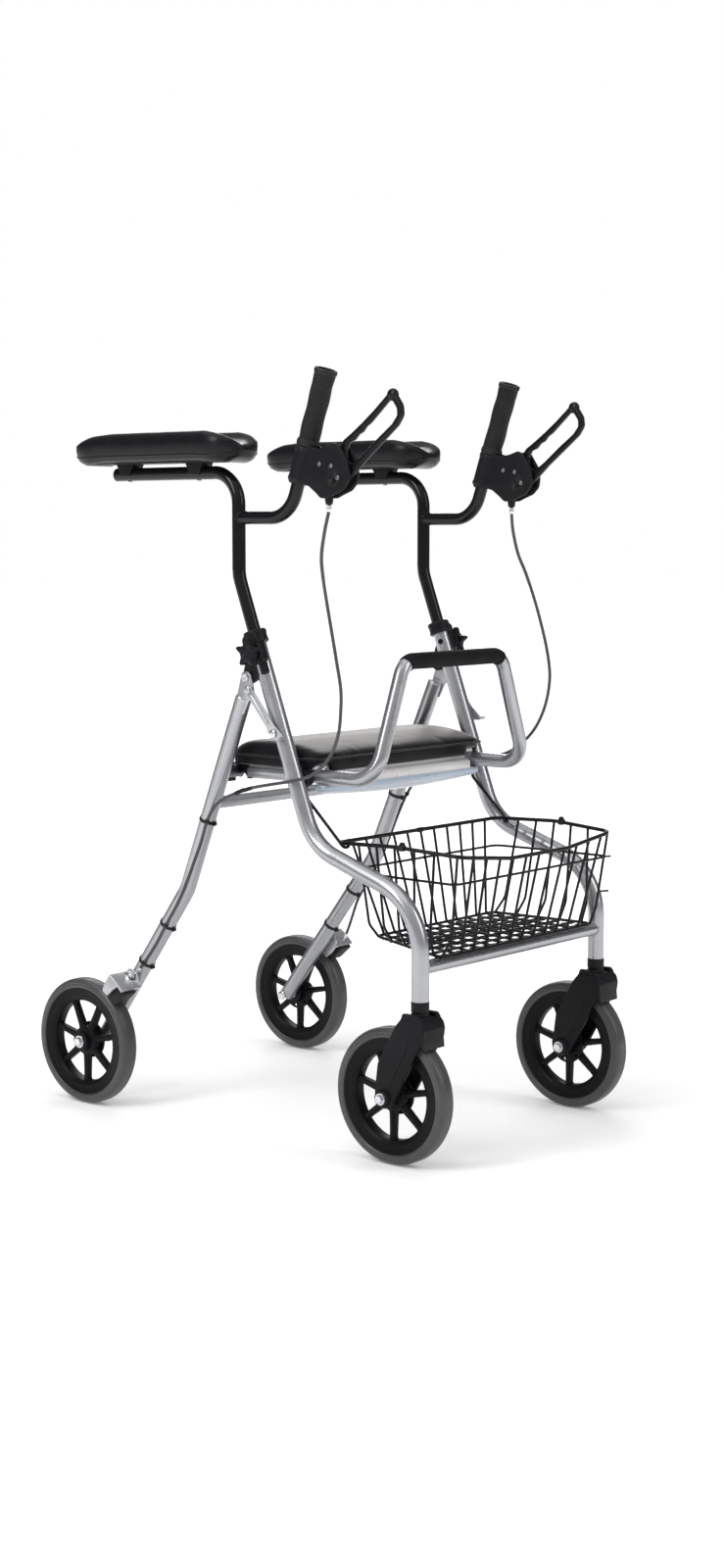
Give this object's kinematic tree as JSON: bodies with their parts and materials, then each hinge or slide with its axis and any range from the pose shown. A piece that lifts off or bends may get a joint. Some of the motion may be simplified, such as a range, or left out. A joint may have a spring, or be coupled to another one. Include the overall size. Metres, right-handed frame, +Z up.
{
  "type": "rollator walker",
  "caption": "Folding wheeled walker with forearm pads, padded seat, wire basket, swivelling front wheels and hand brakes.",
  "frame": {"origin": "on the floor, midway between the wheel axles and on the centre plane", "axes": "+X forward (the way the walker is pushed, towards the swivelling wheels), +Y to the user's left, +Z up"},
  "size_m": [0.803, 0.5572, 1.1398],
  "materials": {
    "silver_tube": "satin silver-grey paint",
    "steel_plate": "satin",
    "zinc_bolts": "bright zinc",
    "black_plastic": "satin moulded",
    "dark_steel": "dark paint",
    "wheel_plastic": "satin moulded",
    "tyre_grey": "solid grey tyre",
    "black_rubber": "fine ribbed rubber",
    "black_tube": "gloss black paint",
    "pad_skin": "smooth moulded skin",
    "lever_black": "satin black",
    "seat_pan_grey": "satin moulded",
    "seat_skin": "grained leatherette",
    "foam": "soft foam tube",
    "black_wire": "black coated wire",
    "cable_sheath": "smooth sheath"
  },
  "bodies": {
    "front_frame": {"front_leg_left": "silver_tube", "front_leg_right": "silver_tube", "basket_bar": "silver_tube", "leg_clamp_left": "black_plastic", "leg_clamp_right": "black_plastic", "caster_bushes": "black_plastic", "seat_pivots": "black_plastic", "basket_hangers": "black_wire", "frame_pins": "zinc_bolts"},
    "rear_frame": {"rear_leg_left": "silver_tube", "rear_leg_right": "silver_tube", "rear_cross_bar": "silver_tube", "rear_leg_lugs": "steel_plate", "seat_rest_pegs": "dark_steel", "rear_axles": "zinc_bolts", "cable_ties": "black_plastic", "brake_cable_lower_left": "cable_sheath", "brake_cable_lower_right": "cable_sheath"},
    "seat_frame": {"seat_frame": "silver_tube", "seat_board": "seat_pan_grey", "seat_cushion": "seat_skin", "loop_foam": "foam", "seat_saddles": "black_plastic"},
    "basket": {"wire_basket": "black_wire"},
    "post_left": {"armrest_tube_left": "black_tube", "hand_grip_left": "black_rubber", "brake_housing_left": "black_plastic", "pad_base_left": "black_plastic", "forearm_pad_left": "pad_skin", "brake_cable_upper_left": "cable_sheath"},
    "lever_left": {"brake_lever_left": "lever_black"},
    "brake_left": {"brake_arm_left": "steel_plate", "brake_shoe_left": "black_rubber"},
    "hook_left": {"lock_hook_left": "steel_plate"},
    "knob_left": {"height_knob_left": "black_plastic"},
    "caster_left": {"caster_fork_left": "black_plastic", "caster_stem_left": "zinc_bolts", "caster_axle_left": "zinc_bolts"},
    "front_wheel_left": {"front_rim_left": "wheel_plastic", "front_tyre_left": "tyre_grey"},
    "rear_wheel_left": {"rear_rim_left": "wheel_plastic", "rear_tyre_left": "tyre_grey"},
    "post_right": {"armrest_tube_right": "black_tube", "hand_grip_right": "black_rubber", "brake_housing_right": "black_plastic", "pad_base_right": "black_plastic", "forearm_pad_right": "pad_skin", "brake_cable_upper_right": "cable_sheath"},
    "lever_right": {"brake_lever_right": "lever_black"},
    "brake_right": {"brake_arm_right": "steel_plate", "brake_shoe_right": "black_rubber"},
    "hook_right": {"lock_hook_right": "steel_plate"},
    "knob_right": {"height_knob_right": "black_plastic"},
    "caster_right": {"caster_fork_right": "black_plastic", "caster_stem_right": "zinc_bolts", "caster_axle_right": "zinc_bolts"},
    "front_wheel_right": {"front_rim_right": "wheel_plastic", "front_tyre_right": "tyre_grey"},
    "rear_wheel_right": {"rear_rim_right": "wheel_plastic", "rear_tyre_right": "tyre_grey"}
  },
  "joints": [
    {"name": "rear_fold", "type": "hinge", "parent": "front_frame", "child": "rear_frame", "pos_m": [0.028, 0, 0.69], "axis": [0, -1, 0], "range_deg": [0, 38]},
    {"name": "seat_tip", "type": "hinge", "parent": "front_frame", "child": "seat_frame", "pos_m": [0.113, 0, 0.543], "axis": [0, 1, 0], "range_deg": [0, 38]},
    {"name": "post_height_left", "type": "slide", "parent": "front_frame", "child": "post_left", "axis": [-0.3503, 0, 0.9366], "range_m": [-0.055, 0.08], "deforming": ["brake_cable_upper_left"]},
    {"name": "brake_lever_left", "type": "hinge", "parent": "post_left", "child": "lever_left", "pos_m": [0.197, 0.219, 0.981], "axis": [0, -1, 0], "range_deg": [0, 18], "stiffness_Nm_per_rad": 1.2, "springref_deg": -5.73},
    {"name": "brake_shoe_left", "type": "hinge", "parent": "rear_frame", "child": "brake_left", "pos_m": [-0.21619, 0.219, 0.21224], "axis": [0, 1, 0], "range_deg": [0, 4], "deforming": ["brake_cable_lower_left"]},
    {"name": "lock_hook_left", "type": "hinge", "parent": "rear_frame", "child": "hook_left", "pos_m": [0.035, 0.219, 0.672], "axis": [0, -1, 0], "range_deg": [0, 40]},
    {"name": "height_knob_left", "type": "hinge", "parent": "front_frame", "child": "knob_left", "pos_m": [0.04613, 0.219, 0.72774], "axis": [0, 1, 0], "continuous": true},
    {"name": "caster_swivel_left", "type": "hinge", "parent": "front_frame", "child": "caster_left", "pos_m": [0.348, 0.219, 0.23], "axis": [0, 0, 1], "continuous": true},
    {"name": "front_wheel_spin_left", "type": "hinge", "parent": "caster_left", "child": "front_wheel_left", "pos_m": [0.3015, 0.219, 0.1], "axis": [0, 1, 0], "continuous": true},
    {"name": "rear_wheel_spin_left", "type": "hinge", "parent": "rear_frame", "child": "rear_wheel_left", "pos_m": [-0.3015, 0.2546, 0.1], "axis": [0, 1, 0], "continuous": true},
    {"name": "post_height_right", "type": "slide", "parent": "front_frame", "child": "post_right", "axis": [-0.3503, 0, 0.9366], "range_m": [-0.055, 0.08], "deforming": ["brake_cable_upper_right"]},
    {"name": "brake_lever_right", "type": "hinge", "parent": "post_right", "child": "lever_right", "pos_m": [0.197, -0.219, 0.981], "axis": [0, -1, 0], "range_deg": [0, 18], "stiffness_Nm_per_rad": 1.2, "springref_deg": -5.73},
    {"name": "brake_shoe_right", "type": "hinge", "parent": "rear_frame", "child": "brake_right", "pos_m": [-0.21619, -0.219, 0.21224], "axis": [0, 1, 0], "range_deg": [0, 4], "deforming": ["brake_cable_lower_right"]},
    {"name": "lock_hook_right", "type": "hinge", "parent": "rear_frame", "child": "hook_right", "pos_m": [0.035, -0.219, 0.672], "axis": [0, -1, 0], "range_deg": [0, 40]},
    {"name": "height_knob_right", "type": "hinge", "parent": "front_frame", "child": "knob_right", "pos_m": [0.04613, -0.219, 0.72774], "axis": [0, -1, 0], "continuous": true},
    {"name": "caster_swivel_right", "type": "hinge", "parent": "front_frame", "child": "caster_right", "pos_m": [0.348, -0.219, 0.23], "axis": [0, 0, 1], "continuous": true},
    {"name": "front_wheel_spin_right", "type": "hinge", "parent": "caster_right", "child": "front_wheel_right", "pos_m": [0.3015, -0.219, 0.1], "axis": [0, 1, 0], "continuous": true},
    {"name": "rear_wheel_spin_right", "type": "hinge", "parent": "rear_frame", "child": "rear_wheel_right", "pos_m": [-0.3015, -0.2546, 0.1], "axis": [0, 1, 0], "continuous": true},
    {"name": "basket_lift", "type": "slide", "parent": "front_frame", "child": "basket", "axis": [0, 0, 1], "range_m": [0, 0.025]}
  ],
  "couplings": [
    {"joint": "seat_tip", "follows": "rear_fold", "ratio": 1},
    {"joint": "brake_shoe_left", "follows": "brake_lever_left", "ratio": 0.22222},
    {"joint": "brake_shoe_right", "follows": "brake_lever_right", "ratio": 0.22222}
  ]
}
